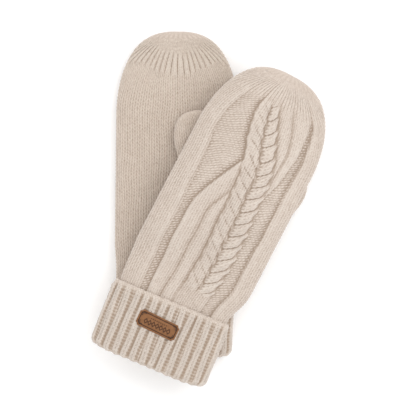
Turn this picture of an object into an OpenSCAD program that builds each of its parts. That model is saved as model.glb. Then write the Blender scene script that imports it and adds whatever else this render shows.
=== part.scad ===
// A pair of cable-knit mittens with turned-back rib cuffs, lying one across the other.
// Each mitten is drawn palm up in its own frame: x across the hand with the thumb on +x,
// y from the cuff's fold to the fingertips, z from the middle of the hand towards the palm.
// The right mitten lies on its back. The left one is turned palm down and draped over it.

/* [Hand] */
// Length from the cuff's fold to the fingertips
hand_len = 260; // [240:1:280]
// Width of the right hand, laid flat
right_hand_w = 97.6; // [92:0.2:104]
// Width of the left hand, which is pressed flatter over the other mitten
left_hand_w = 101.6; // [96:0.2:104]
// Thickness of the hand, laid flat
hand_t = 20; // [19:0.5:22]
// Width of the wrist
wrist_w = 90.4; // [86:0.2:92]
// Thickness of the wrist
wrist_t = 17.2; // [17:0.1:18]
// Length of the rounded crown at the fingertips
crown_len = 66; // [60:1:80]
// Thickness of the knitted wall
wall = 3.3; // [2.8:0.1:3.4]
// Thickness of the fleece lining
lining_wall = 1; // [0.8:0.1:1.2]
// Thickness of the thumb's fleece lining
thumb_lining_wall = 0.8; // [0.6:0.1:1]
// How square the flattened hand's cross-section is, 2 being an ellipse
squareness = 2.6; // [2.2:0.1:3]

/* [Thumb] */
// Width of the thumb
thumb_w = 38; // [34:0.5:40]
// Thickness of the thumb
thumb_t = 13.2; // [13:0.1:14]
// Length from the middle of the thumb's root to its tip
thumb_len = 66; // [60:1:72]
// Distance of the thumb's root from the hand's centre line
thumb_x = 27; // [24:0.5:28]
// Distance of the thumb's root from the cuff's fold
thumb_y = 132; // [126:1:138]
// Thickness of the thumb's knitted wall
thumb_wall = 2.4; // [2.2:0.1:2.8]
// Lean of the right thumb away from the palm's centre, negative across the palm
right_thumb_lean = -14; // [-20:0.5:0]
// Lean of the left thumb away from the palm's centre
left_thumb_lean = 10; // [0:0.5:12]

/* [Cuff] */
// Height of the turned-back cuff
cuff_h = 56; // [50:1:60]
// Width of the turned-back cuff
cuff_w = 98; // [96:0.2:100]
// Thickness of the cuff, laid flat
cuff_t = 24.6; // [24:0.1:25]
// Thickness of each rib-knit layer
cuff_wall = 3.1; // [2.8:0.1:3.4]
// Height of the rounded fold at the cuff's lower edge
fold_h = 3.6; // [3:0.1:4]

/* [Leather patch] */
// Length of the patch
patch_w = 34; // [30:0.5:38]
// Height of the patch
patch_h = 13.5; // [12:0.5:15]
// Thickness of the leather
patch_t = 1.3; // [1:0.1:1.4]
// Radius of the notch at each corner
patch_notch = 1.8; // [1.4:0.1:2.4]
// Distance of the patch's middle below the cuff's free edge
patch_drop = 21.5; // [16:0.5:24]
// Distance of the patch's middle from the cuff's, away from the thumb
patch_aside = 4; // [0:0.5:8]
// Turn of the patch, which isn't sewn on quite straight
patch_tilt = 3.5; // [0:0.5:5]

/* [Pair] */
// Turn of the right mitten's hand, clockwise seen from above
right_turn = 0.6; // [0:0.1:3]
// Turn of the right mitten's cuff
right_cuff_turn = 2.5; // [0:0.1:4]
// Turn of the left mitten's hand, clockwise seen from above
left_turn = 27.4; // [26:0.1:28]
// Turn of the left mitten's cuff, which lies a little straighter
left_cuff_turn = 22.5; // [20:0.1:24]
// Height of the left mitten where it crosses the right one's cuff
rest_h = 25; // [25:0.1:26]
// Height of the left mitten where it crosses the right one's thumb
rise_h = 35; // [35:0.1:37]
// Height of the left mitten over its own thumb
side_h = 14.8; // [14.8:0.1:16]
// Height of the left mitten's fingertips
tip_h = 2; // [1:0.5:4]

/* [Hidden] */

// Sides of the pair, and where each cuff's fold has its middle
RIGHT = 0;
LEFT = 1;
fold_at = [[-30.7, -117.2], [-49.4, -125.1]];
turn = [right_turn, left_turn];
cuff_turn = [right_cuff_turn, left_cuff_turn];
hand_w = [right_hand_w, left_hand_w];
// How far each hand lies to the thumb's side of the line of its cuff
hand_shift = [1.9, 3.1];
// Stretch of the wrist over which the hand turns away from the line of the cuff
bend_span = [52, 84];
thumb_lean = [right_thumb_lean, left_thumb_lean];

// Heights of the hand's middle above its own lowest point, under the cuff and in the palm
cuff_mid = 14.4;
hand_mid = hand_t / 2;
// Stretch of the wrist over which the hand widens
widen_from = 51;
widen_to = 92;
// Depth of the fingertip's rounding seen from the side, and of the gathered cap
tip_round = 45;
cap_depth = 6;
// Gap left between pieces that lie against each other
gap = 0.2;
// Where the hand is joined to the inner cuff
join_y = 50;
// Gap between the turned-back cuff and the layer under it
cuff_gap = 0.7;

// Drape of the left mitten: it starts to fall beyond this x, over this width
fall_from = 22;
fall_width = 75;
rise_span = [-48, 2];
sink_span = [87, 147];
low_span = [47, 97];

// Facets round half a hand, and round a whole tube
half_facets = 18;
tube_facets = 32;
thumb_facets = 20;

// 0 before a, 1 after b, and smooth between
function ease(v, a, b) = let (t = min(max((v - a) / (b - a), 0), 1)) t * t * (3 - 2 * t);
function mix(a, b, t) = a + (b - a) * t;
// Roundness of an end: 0 at its tip, 1 once the distance d from the tip reaches len
function dome(d, len, power) = d >= len ? 1 : pow(1 - pow(1 - max(d, 0) / len, 2), power);

// Half width and half thickness of the hand at y
function hand_a(y, side) =
    mix(wrist_w, hand_w[side], ease(y, widen_from, widen_to)) / 2
        * dome(hand_len - y, crown_len, 0.38);
function hand_b(y) =
    mix(wrist_t, hand_t, ease(y, widen_from, widen_to)) / 2 * dome(hand_len - y, tip_round, 0.5);
function mid_z(y) = mix(cuff_mid, hand_mid, ease(y, widen_from, widen_to));

// Height of the palm over the middle of the hand
function palm_z(x, y, side) =
    let (u = min(abs(x) / hand_a(y, side), 0.97))
    hand_b(y) * min(1.02 * pow(1 - pow(u, squareness), 1 / squareness), 1);

// How far the draped mitten is lifted at a place in the pair's frame
function lift(x, y) =
    let (
        high = mix(rest_h, rise_h, ease(y, rise_span[0], rise_span[1]))
            - (rise_h - rest_h) * ease(y, sink_span[0], sink_span[1]),
        low = mix(side_h, tip_h, ease(y, low_span[0], low_span[1]))
    )
    mix(high, low, ease(x, fall_from, fall_from + fall_width));

// A mitten's own point p, placed in the pair: the cuff and the hand each run straight
function flat_place(p, side) =
    let (
        t = ease(p[1], bend_span[0], bend_span[1]),
        corner = (bend_span[0] + bend_span[1]) / 2,
        c = cuff_turn[side],
        h = turn[side],
        a = mix(c, h, t),
        on_cuff_line = fold_at[side] + p[1] * [sin(c), cos(c)],
        on_hand_line = fold_at[side] + corner * [sin(c), cos(c)] + (p[1] - corner) * [sin(h), cos(h)]
    )
    mix(on_cuff_line, on_hand_line, t) + (p[0] + hand_shift[side] * t) * [cos(a), -sin(a)];
function place(p, side) =
    let (q = flat_place(p, side), m = mid_z(p[1]))
    [q[0], q[1], side == RIGHT ? m + p[2] : m + lift(q[0], q[1]) - p[2]];

// Point at angle t on a flattened round with half sizes a and b, flat above and below
function round_xz(a, b, t) = [
    a * sign(cos(t)) * pow(abs(cos(t)), 2 / squareness),
    b * sign(sin(t)) * min(1.02 * pow(abs(sin(t)), 2 / squareness), 1)
];
function ring(a, b, y, from, to, n) = [
    for (i = [0 : n]) let (p = round_xz(a, b, from + (to - from) * i / n)) [p[0], y, p[1]]
];
function full_ring(a, b, y, n) = [
    for (i = [0 : n - 1]) let (p = round_xz(a, b, 360 * i / n)) [p[0], y, p[1]]
];

// Triangles between ring r and ring r + 1 of m points each, numbered from base
function strip(base, r, m, closed) = [
    for (j = [0 : closed ? m - 1 : m - 2])
        let (
            a = base + r * m + j, b = base + r * m + (j + 1) % m,
            c = base + (r + 1) * m + (j + 1) % m, d = base + (r + 1) * m + j
        )
        each [[a, b, c], [a, c, d]]
];
// Triangles joining line a to line b, each a list of point numbers
function bridge(a, b) = [
    for (j = [0 : len(a) - 2]) each [[a[j], a[j + 1], b[j + 1]], [a[j], b[j + 1], b[j]]]
];
function reversed(face) = [for (i = [len(face) - 1 : -1 : 0]) face[i]];
function count_up(from, step, n) = [for (i = [0 : n - 1]) from + i * step];

// A closed solid between an outer and an inner stack of rings, placed in the pair.
// closed: the rings go all the way round. capped: the far end is closed off.
module shell(outer, inner, side, closed = true, capped = false) {
    m = len(outer[0]);
    n = len(outer);
    base = n * m;
    last = (n - 1) * m;
    loop = closed ? concat(count_up(0, 1, m), [0]) : count_up(0, 1, m);
    near_end = bridge([for (i = loop) base + i], loop);
    far_end = capped
        ? [count_up(last, 1, m), reversed(count_up(base + last, 1, m))]
        : bridge([for (i = loop) last + i], [for (i = loop) base + last + i]);
    edges = closed ? [] : concat(
        bridge(count_up(0, m, n), count_up(base, m, n)),
        bridge(count_up(base + m - 1, m, n), count_up(m - 1, m, n))
    );
    faces = concat(
        [for (r = [0 : n - 2]) each strip(0, r, m, closed)],
        [for (r = [0 : n - 2]) each [for (f = strip(base, r, m, closed)) reversed(f)]],
        near_end,
        far_end,
        edges
    );
    points = [for (r = concat(outer, inner)) each [for (p = r) place(p, side)]];
    polyhedron(points, side == RIGHT ? faces : [for (f = faces) reversed(f)]);
}

// A closed solid whose rings shrink to a flat end
module plug(rings, side) {
    m = len(rings[0]);
    n = len(rings);
    faces = concat(
        [for (r = [0 : n - 2]) each strip(0, r, m, true)],
        [reversed(count_up(0, 1, m)), count_up((n - 1) * m, 1, m)]
    );
    points = [for (r = rings) each [for (p = r) place(p, side)]];
    polyhedron(points, side == RIGHT ? faces : [for (f = faces) reversed(f)]);
}

// Places of the hand's rings from y = from to the depth below the fingertips
function hand_ys(from, depth) = concat(
    [for (i = [0 : 5]) mix(from, widen_to, i / 5)],
    [for (i = [1 : 9]) mix(widen_to, hand_len - crown_len, i / 9)],
    [for (i = [1 : 8]) hand_len - depth - (crown_len - depth) * (1 - sin(90 * i / 8))]
);

// Half of the hand's wall: t = 4 to 176 degrees is the palm, and 184 to 356 the back
module hand_panel(side, from) {
    seam_angle = 4;
    outer = [
        for (y = hand_ys(join_y + gap, cap_depth + gap))
            ring(hand_a(y, side), hand_b(y), y, from + seam_angle, from + 180 - seam_angle, half_facets)
    ];
    inner = [
        for (y = hand_ys(join_y + gap, cap_depth + gap))
            ring(hand_a(y, side) - wall, hand_b(y) - wall, y,
                from + seam_angle, from + 180 - seam_angle, half_facets)
    ];
    shell(outer, inner, side, closed = false);
}

// A slot through the palm side at the thumb's root, through which the thumb goes
module thumb_hole(side, half_w, half_h) {
    at = place([thumb_x, thumb_y, 0], side);
    depth = side == RIGHT ? [0, hand_t] : [-hand_t, 0];
    translate([at[0], at[1], at[2] + depth[0]])
        rotate([0, 0, -turn[side] - thumb_lean[side]])
            linear_extrude(depth[1] - depth[0])
                union() {
                    square([2 * (half_w - half_h), 2 * half_h], center = true);
                    for (s = [-1, 1]) translate([s * (half_w - half_h), 0]) circle(half_h, $fn = 32);
                }
}

module back_panel(side) {
    color("antiquewhite") hand_panel(side, 180);
}

module palm_panel(side) {
    color("oldlace")
        difference() {
            hand_panel(side, 0);
            thumb_hole(side, 13, 7);
        }
}

// The two linked seams down the sides of the hand
module side_seams(side) {
    half = 0.45;
    ys = hand_ys(join_y + gap, cap_depth + gap);
    color("wheat")
        for (s = [-1, 1])
            plug([
                for (y = ys)
                    let (a = s * hand_a(y, side), in = s * (hand_a(y, side) - wall + gap))
                    s > 0
                        ? [[in, y, -half], [a, y, -half], [a, y, half], [in, y, half]]
                        : [[a, y, -half], [in, y, -half], [in, y, half], [a, y, half]]
            ], side);
}

// Last rounds of stitches, drawn together at the fingertips
module crown_gather(side) {
    steps = 6;
    color("cornsilk")
        plug([
            for (i = [0 : steps])
                let (d = 0.15 + (cap_depth - 0.15) * (1 - sin(90 * i / steps)), y = hand_len - d)
                full_ring(hand_a(y, side), hand_b(y), y, tube_facets)
        ], side);
}

// Fleece bag inside the hand
module lining(side) {
    from = 8;
    depth = 12;
    out = wall + 2 * gap;
    in = out + lining_wall;
    ys = concat([from], hand_ys(join_y, depth));
    color("floralwhite")
        difference() {
            shell(
                [for (y = ys) full_ring(hand_a(y, side) - out, hand_b(y) - out, y, tube_facets)],
                [
                    for (i = [0 : len(ys) - 1])
                        let (y = ys[i] - (i == len(ys) - 1 ? lining_wall : 0))
                        full_ring(hand_a(y, side) - in, hand_b(y) - in, y, tube_facets)
                ],
                side, capped = true
            );
            thumb_hole(side, 11.5, 5.5);
        }
}

// Rib-knit layer against the wrist, which goes on into the turned-back cuff
module inner_cuff(side) {
    a = wrist_w / 2;
    b = wrist_t / 2;
    ys = [fold_h + 0.6, mix(fold_h, join_y, 0.5), join_y];
    color("bisque")
        shell(
            [for (y = ys) full_ring(a, b, y, tube_facets)],
            [for (y = ys) full_ring(a - wall + gap, b - wall + gap, y, tube_facets)],
            side
        );
}

// Turned-back rib-knit cuff, with the rounded fold at its lower edge
module cuff(side) {
    a = cuff_w / 2;
    b = cuff_t / 2;
    lip = cuff_wall + cuff_gap + 2.5;
    outer = [[cuff_h, 0.8], [cuff_h - 1.5, 0], [fold_h + 1, 0], [fold_h / 2, 0.5], [0.6, 1.8], [0, 3.2]];
    inner = [
        [cuff_h, cuff_wall], [cuff_h - 1.5, cuff_wall], [fold_h + 0.2, cuff_wall],
        [fold_h, lip], [0.8, lip], [0, lip - 1]
    ];
    color("antiquewhite")
        shell(
            reversed([for (e = outer) full_ring(a - e[1], b - e[1], e[0], tube_facets)]),
            reversed([for (e = inner) full_ring(a - e[1], b - e[1], e[0], tube_facets)]),
            side
        );
}

// Puts a flat piece, drawn facing up from z = 0, on the back of the cuff
module on_cuff_back(side) {
    at = place([-patch_aside, cuff_h - patch_drop, -cuff_t / 2 - 0.15], side);
    translate(at)
        rotate([0, 0, -cuff_turn[side] - patch_tilt])
            mirror([0, 0, side == RIGHT ? 1 : 0])
                children();
}

// Leather patch with a round notch at each corner
module cuff_patch(side) {
    color("peru")
        on_cuff_back(side)
            linear_extrude(patch_t)
                difference() {
                    square([patch_w, patch_h], center = true);
                    for (x = [-1, 1], y = [-1, 1])
                        translate([x * patch_w / 2, y * patch_h / 2]) circle(patch_notch, $fn = 24);
                }
}

// Two thread tacks, at a right angle, inside each corner of the patch
module patch_stitches(side) {
    thread = 0.8;
    tack = 2.6;
    proud = 0.35;
    inset = patch_notch + 0.6;
    color("saddlebrown")
        on_cuff_back(side)
            for (x = [-1, 1], y = [-1, 1])
                translate([x * (patch_w / 2 - inset), y * (patch_h / 2 - inset), patch_t + 0.02])
                    linear_extrude(proud)
                        union() {
                            translate([-x * tack / 2, 0]) square([tack + thread, thread], center = true);
                            translate([0, -y * tack / 2]) square([thread, tack + thread], center = true);
                        }
}

// Rings of the thumb's surface, drawn in by the given amount all round. The tube stands on
// the palm at its root, turns over its front edge, and lies along the palm to its round tip.
root_half_w = 17;
root_half_l = 10.5;
root_gap = 0.8;
bend_r = 0.5;
thumb_round = 24;
bend_steps = 5;
function thumb_dir(side) = [sin(thumb_lean[side]), cos(thumb_lean[side])];
function thumb_ring(side, phi, s, half_w, half_t, n) =
    let (
        d = thumb_dir(side),
        e = [d[1], -d[0]],
        front = [thumb_x, thumb_y] + d * root_half_l,
        reach = half_t[1] + bend_r,
        top = palm_z(0, thumb_y, side) + root_gap
    )
    [
        for (i = [0 : n - 1])
            let (
                q = round_xz(half_w, half_t[0], 360 * i / n),
                r = reach + q[1],
                flat = front + e * q[0] + d * (s - r * cos(phi)),
                sag = palm_z(flat[0], flat[1], side) - palm_z(0, thumb_y, side)
            )
            [flat[0], flat[1], top + r * sin(phi) + sag * (1 - phi / 90) * 0.8]
    ];
function thumb_rings(side, in, tip_in) = concat(
    [
        for (i = [0 : bend_steps])
            let (
                t = i / bend_steps,
                half_l = mix(root_half_l, thumb_t / 2, sqrt(t)),
                half_w = mix(root_half_w, thumb_w / 2, t)
            )
            thumb_ring(side, 90 * t, 0, half_w - in, [half_l - in, half_l], thumb_facets)
    ],
    [
        for (i = [1 : 9])
            let (
                straight = thumb_len - root_half_l - tip_in,
                s = i < 3
                    ? (straight - thumb_round) * i / 2
                    : straight - thumb_round * (1 - sin(90 * (i - 2) / 7)) - 0.3,
                d = straight + tip_in - s,
                half_w = thumb_w / 2 * dome(d, thumb_round, 0.42),
                half_t = thumb_t / 2 * dome(d, thumb_round * 0.7, 0.42)
            )
            thumb_ring(side, 90, s, half_w - in, [half_t - in, thumb_t / 2], thumb_facets)
    ]
);

module thumb(side) {
    color("linen")
        shell(thumb_rings(side, 0, 0), thumb_rings(side, thumb_wall, thumb_wall + 1), side, capped = true);
}

module thumb_lining(side) {
    out = thumb_wall + gap;
    in = out + thumb_lining_wall;
    color("floralwhite")
        shell(thumb_rings(side, out, out + 2), thumb_rings(side, in, in + 3), side, capped = true);
}

// Round of picked-up stitches about the thumb's root, thin where the thumb lies over it
module thumb_seam(side) {
    m = thumb_facets;
    sides = 6;
    low = thumb_ring(side, 0, 0, root_half_w, [root_half_l, root_half_l], m);
    path = thumb_ring(side, 0, 0, root_half_w + 1, [root_half_l + 1, root_half_l], m);
    rings = [
        for (i = [0 : m - 1])
            let (
                away = path[i] - low[i],
                u = away / norm(away),
                back = ease(sin(360 * i / m), -0.1, 0.5),
                yarn = mix(0.3, 0.9, back),
                up = mix(-0.1, 1.2, back)
            )
            [
                for (k = [0 : sides - 1])
                    path[i] + u * (yarn * cos(60 * k) + 0.2) + [0, 0, up + yarn * sin(60 * k)]
            ]
    ];
    faces = [
        for (i = [0 : m - 1], k = [0 : sides - 1])
            let (
                a = i * sides + k,
                b = i * sides + (k + 1) % sides,
                c = (i + 1) % m * sides + (k + 1) % sides,
                d = (i + 1) % m * sides + k
            )
            each [[a, c, b], [a, d, c]]
    ];
    points = [for (r = rings) each [for (p = r) place(p, side)]];
    color("wheat") polyhedron(points, side == RIGHT ? faces : [for (f = faces) reversed(f)]);
}

back_panel(RIGHT);  // right_back_panel
palm_panel(RIGHT);  // right_palm_panel
side_seams(RIGHT);  // right_side_seams
crown_gather(RIGHT);  // right_crown_gather
lining(RIGHT);  // right_lining
inner_cuff(RIGHT);  // right_inner_cuff
thumb(RIGHT);  // right_thumb
thumb_seam(RIGHT);  // right_thumb_seam
thumb_lining(RIGHT);  // right_thumb_lining
cuff(RIGHT);  // right_cuff
cuff_patch(RIGHT);  // right_cuff_patch
patch_stitches(RIGHT);  // right_patch_stitches
back_panel(LEFT);  // left_back_panel
palm_panel(LEFT);  // left_palm_panel
side_seams(LEFT);  // left_side_seams
crown_gather(LEFT);  // left_crown_gather
lining(LEFT);  // left_lining
inner_cuff(LEFT);  // left_inner_cuff
thumb(LEFT);  // left_thumb
thumb_seam(LEFT);  // left_thumb_seam
thumb_lining(LEFT);  // left_thumb_lining
cuff(LEFT);  // left_cuff
cuff_patch(LEFT);  // left_cuff_patch
patch_stitches(LEFT);  // left_patch_stitches
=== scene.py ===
"""A pair of cable-knit mittens: the knitted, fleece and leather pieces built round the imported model."""

import math

import bmesh
import bpy
import numpy as np
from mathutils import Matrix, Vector, kdtree


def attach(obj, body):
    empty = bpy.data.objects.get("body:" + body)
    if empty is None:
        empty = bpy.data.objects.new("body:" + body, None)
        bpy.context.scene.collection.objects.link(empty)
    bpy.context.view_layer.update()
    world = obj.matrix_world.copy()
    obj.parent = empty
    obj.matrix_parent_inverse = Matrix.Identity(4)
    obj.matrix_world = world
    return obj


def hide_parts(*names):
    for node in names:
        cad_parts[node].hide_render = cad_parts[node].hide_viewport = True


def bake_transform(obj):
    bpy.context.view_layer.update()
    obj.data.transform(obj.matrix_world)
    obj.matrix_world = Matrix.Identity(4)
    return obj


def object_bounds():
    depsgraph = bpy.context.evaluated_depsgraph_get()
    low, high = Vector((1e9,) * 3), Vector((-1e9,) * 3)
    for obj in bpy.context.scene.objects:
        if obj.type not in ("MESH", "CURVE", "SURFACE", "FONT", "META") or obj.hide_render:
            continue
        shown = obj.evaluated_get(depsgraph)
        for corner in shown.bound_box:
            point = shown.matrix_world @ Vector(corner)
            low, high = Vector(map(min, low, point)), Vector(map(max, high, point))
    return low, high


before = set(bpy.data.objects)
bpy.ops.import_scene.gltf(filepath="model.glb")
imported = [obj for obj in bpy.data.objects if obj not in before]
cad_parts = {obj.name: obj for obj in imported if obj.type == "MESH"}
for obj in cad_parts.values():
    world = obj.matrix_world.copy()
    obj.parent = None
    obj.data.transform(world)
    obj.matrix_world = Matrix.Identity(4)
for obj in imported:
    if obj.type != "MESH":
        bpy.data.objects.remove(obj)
cad_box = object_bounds()

RIGHT, LEFT = 0, 1
SIDES = ("right", "left")

# ---------------------------------------------------------------------------
# Where the fabric lies: the same dimensions and formulas as part.scad, in millimetres.
# A mitten's own frame: x across the hand (thumb on +x), y from the cuff's fold, z towards the palm.

HAND_LEN, WRIST_W, WRIST_T, HAND_T = 260.0, 90.4, 17.2, 20.0
HAND_W = (97.6, 101.6)
CROWN_LEN, TIP_ROUND, SQUARE = 66.0, 45.0, 2.6
WALL, LINING_WALL, THUMB_LINING_WALL, GAP = 3.3, 1.0, 0.8, 0.2
THUMB_W, THUMB_T, THUMB_LEN, THUMB_X, THUMB_Y, THUMB_WALL = 38.0, 13.2, 66.0, 27.0, 132.0, 2.4
THUMB_LEAN = (-14.0, 10.0)
ROOT_HALF_W, ROOT_HALF_L, ROOT_GAP, BEND_R, THUMB_ROUND = 17.0, 10.5, 0.8, 0.5, 24.0
CUFF_H, CUFF_W, CUFF_T, CUFF_WALL, FOLD_H, JOIN_Y = 56.0, 98.0, 24.6, 3.1, 3.6, 50.0
PATCH_W, PATCH_H, PATCH_T, PATCH_NOTCH, PATCH_Y, PATCH_X, PATCH_TILT = 34.0, 13.5, 1.3, 1.8, 34.5, -4.0, 3.5
TURN, CUFF_TURN = (0.6, 27.4), (2.5, 22.5)
FOLD_AT = ((-30.7, -117.2), (-49.4, -125.1))
HAND_SHIFT = (1.9, 3.1)
BEND = (52.0, 84.0)
CUFF_MID, HAND_MID, WIDEN = 14.4, 10.0, (51.0, 92.0)
REST_H, RISE_H, SIDE_H, TIP_H = 25.0, 35.0, 14.8, 2.0
CROWN_D, TIP_HOLE = 6.2, 0.06  # from the fingertips: where the crown starts, and where its last round is
PALM_SLOT, LINING_SLOT = (13, 7), (11.5, 5.5)  # half sizes of the slots for the thumb

# The knit's own sizes, also in millimetres
WALE, COURSE = 4.0, 2.65
PURL_ROW, PURL_BUMP = 2.1, 3.0
CABLE_PITCH = 10.6
RIBS, RIB_SHARE = 28, 0.66  # ribs round the cuff, and how much of each is raised
GROUND, GROOVE_FLOOR = -0.95, -0.45  # heights of the back's purl ground, and below which grooves are filled
ROW_STEP = 0.66  # between the rows of points of a knitted mesh
PRESSED, CLEAR = 0.35, 0.1  # fabric lower than the first is pressed flat, and stays above the second


def ease(v, a, b):
    t = np.clip((v - a) / (b - a), 0, 1)
    return t * t * (3 - 2 * t)


def mix(a, b, t):
    return a + (b - a) * t


def dome(d, length, power):
    return (1 - (1 - np.clip(d, 0, length) / length) ** 2) ** power


def hand_a(y, side):
    return mix(WRIST_W, HAND_W[side], ease(y, *WIDEN)) / 2 * dome(HAND_LEN - y, CROWN_LEN, 0.38)


def hand_b(y):
    return mix(WRIST_T, HAND_T, ease(y, *WIDEN)) / 2 * dome(HAND_LEN - y, TIP_ROUND, 0.5)


def mid_z(y):
    return mix(CUFF_MID, HAND_MID, ease(y, *WIDEN))


def palm_z(x, y, side):
    u = np.minimum(np.abs(x) / hand_a(y, side), 0.97)
    return hand_b(y) * np.minimum(1.02 * (1 - u**SQUARE) ** (1 / SQUARE), 1)


def lift(x, y):
    """How far the left mitten is raised by the right one under it."""
    high = mix(REST_H, RISE_H, ease(y, -48, 2)) - (RISE_H - REST_H) * ease(y, 87, 147)
    low = mix(SIDE_H, TIP_H, ease(y, 47, 97))
    return mix(high, low, ease(x, 22, 97))


def place(p, side):
    """Points of a mitten's own frame, as an array of rows (x, y, z), in the pair's frame."""
    x, y, z = p[..., 0], p[..., 1], p[..., 2]
    t = ease(y, *BEND)
    corner = sum(BEND) / 2
    c, h = math.radians(CUFF_TURN[side]), math.radians(TURN[side])
    a = mix(c, h, t)
    fx, fy = FOLD_AT[side]
    along = x + HAND_SHIFT[side] * t
    hx, hy = fx + corner * math.sin(c), fy + corner * math.cos(c)
    px = mix(fx + y * math.sin(c), hx + (y - corner) * math.sin(h), t) + along * np.cos(a)
    py = mix(fy + y * math.cos(c), hy + (y - corner) * math.cos(h), t) - along * np.sin(a)
    m = mid_z(y)
    pz = m + z if side == RIGHT else m + lift(px, py) - z
    return np.stack([px, py, pz], -1)


def turned(x, y, angle):
    c, s = math.cos(angle), math.sin(angle)
    return x * c - y * s, x * s + y * c


def super_round(t):
    """Unit flattened round at angle t: cosine and sine made squarer, and flat above and below."""
    c, s = np.cos(t), np.sin(t)
    power = 2 / SQUARE
    return np.sign(c) * np.abs(c) ** power, np.sign(s) * np.minimum(1.02 * np.abs(s) ** power, 1)


def even_angles(a, b, start, end, n):
    """n angles between start and end that space points evenly round a flattened round of half sizes a, b."""
    fine = np.linspace(start, end, 4001)
    cx, cz = super_round(fine)
    steps = np.hypot(np.diff(a * cx), np.diff(b * cz))
    run = np.concatenate([[0], np.cumsum(steps)])
    return np.interp(np.linspace(0, run[-1], n), run, fine), run[-1]


def ring_grid(a, y, b, cx, cz):
    """Flattened rings of half sizes a and b at each y, in the mitten's own frame."""
    return np.stack([a[:, None] * cx, np.repeat(y[:, None], len(cx), 1), b[:, None] * cz], -1)


# ---------------------------------------------------------------------------
# Knit relief. Heights are in millimetres, u runs across the knitting and v along it.


def plain_knit(u, v):
    """Columns of V-shaped stitches, 0 between stitches and 1 on the legs."""
    t = np.abs(u / WALE - np.floor(u / WALE) - 0.5) * 2
    leg = np.abs(np.sin(np.pi * t)) ** 0.8
    return leg * (0.3 + 0.7 * (0.5 + 0.5 * np.cos(2 * np.pi * (v / COURSE - 1.2 * t))))


def purl_knit(u, v):
    """Rows of small bumps, each row set over by half a bump."""
    row = np.floor(v / PURL_ROW + 0.5)
    across = 0.5 + 0.5 * np.cos(2 * np.pi * (u / PURL_BUMP + 0.5 * row))
    return (0.5 + 0.5 * np.cos(2 * np.pi * v / PURL_ROW)) * (0.35 + 0.65 * across)


def waves(u, v, length, seed):
    """Smooth unevenness of about that wavelength, with a spread of 1."""
    rng = np.random.default_rng(seed)
    total = 0.0
    for _ in range(12):
        turn, k = rng.uniform(0, 2 * np.pi), 2 * np.pi / (length * rng.uniform(0.7, 1.6))
        total = total + np.sin(k * (u * math.cos(turn) + v * math.sin(turn)) + rng.uniform(0, 2 * np.pi))
    return total / math.sqrt(6)


def by_column(u, seed, width=WALE):
    """A random number for each column of stitches."""
    k = np.floor(u / width).astype(int)
    return np.random.default_rng(seed).uniform(-1, 1, 400)[(k + 200) % 400]


def fuzz(shape, du, dv, seed):
    """The uneven surface that loose fibres leave."""
    n = blurred(np.random.default_rng(seed).standard_normal(shape), du, dv, 0.5)
    return n / n.std()


def blurred(h, du, dv, sigma):
    """h smoothed over sigma millimetres both ways."""
    for axis, step in ((1, du), (0, dv)):
        n = max(1, int(round(3 * sigma / step)))
        k = np.exp(-0.5 * (np.arange(-n, n + 1) * step / sigma) ** 2)
        k /= k.sum()
        pad = [(0, 0), (0, 0)]
        pad[axis] = (n, n)
        e = np.pad(h, pad, mode="edge")
        h = sum(w * np.take(e, range(i, i + h.shape[axis]), axis) for i, w in enumerate(k))
    return h


def crevice(h, du, dv, wide=2.6):
    """0 deep in a groove, 1 on a ridge: painted shade, for how much light a place gets."""
    broad = 0.13 * np.clip(h - blurred(h, du, dv, 7.0), -2, 0.3)
    groove, stitch_gap = h - blurred(h, du, dv, wide), h - blurred(h, du, dv, 0.9)
    return np.clip(0.6 + broad + 0.24 * groove + stitch_gap, 0, 1)


# Where the back's pattern changes along y, as distances across from the middle of the full-width hand
CABLE_MID = ((50, 83, 99, 135, 158, 170, 188, 197, 212, 228, 245, 260),
             (12.2, 12.8, 13.6, 12.8, 11.4, 11.2, 7.7, 4.2, -0.6, -5, -7.5, -9))
CABLE_HALF = ((50, 190, 212, 228, 240, 260), (13.3, 13.3, 12.6, 11.4, 9, 5))
BAND_LEFT = ((50, 120, 158, 181, 197, 260), (-32, -32, -33, -33.8, -35.5, -36))
BAND_RIGHT = ((50, 95, 119, 144, 173, 205, 222, 240, 260), (36, 36.4, 37, 37.6, 38.6, 39, 41.5, 46, 49))
RIB_LEFT = ((50, 130, 138, 148, 158, 170, 181, 188), (-26, -26, -25.2, -21.5, -17, -11, -5, 0))
RIB_SPLIT = ((50, 131, 138, 147, 157), (-12, -12, -10.8, -6.5, -1.5))
RIB_RIGHT = ((158, 166, 178, 188, 197, 214, 238, 260), (23, 26, 30.3, 32.2, 33, 36.5, 43, 46))
RIB_RIGHT_SPLIT = ((174, 184, 197, 212, 228, 260), (22, 24.5, 25.2, 24.5, 21.5, 19))


def along(table, y):
    return np.interp(y, *table)


def rib_bulge(u, low, high):
    """A rounded rib between two edges."""
    width = np.maximum(high - low, 0.01)
    q = np.clip((u - low) / width, 0, 1)
    return np.minimum(width / 10, 1) ** 0.7 * np.sin(np.pi * q) ** 0.75


def narrowed(y, side):
    """The hand's width towards the crown, against its full width."""
    narrow = hand_a(np.minimum(y, 250.0), side) / hand_a(np.array(190.0), side)
    return np.where(y > 190, narrow, 1.0)


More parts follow.
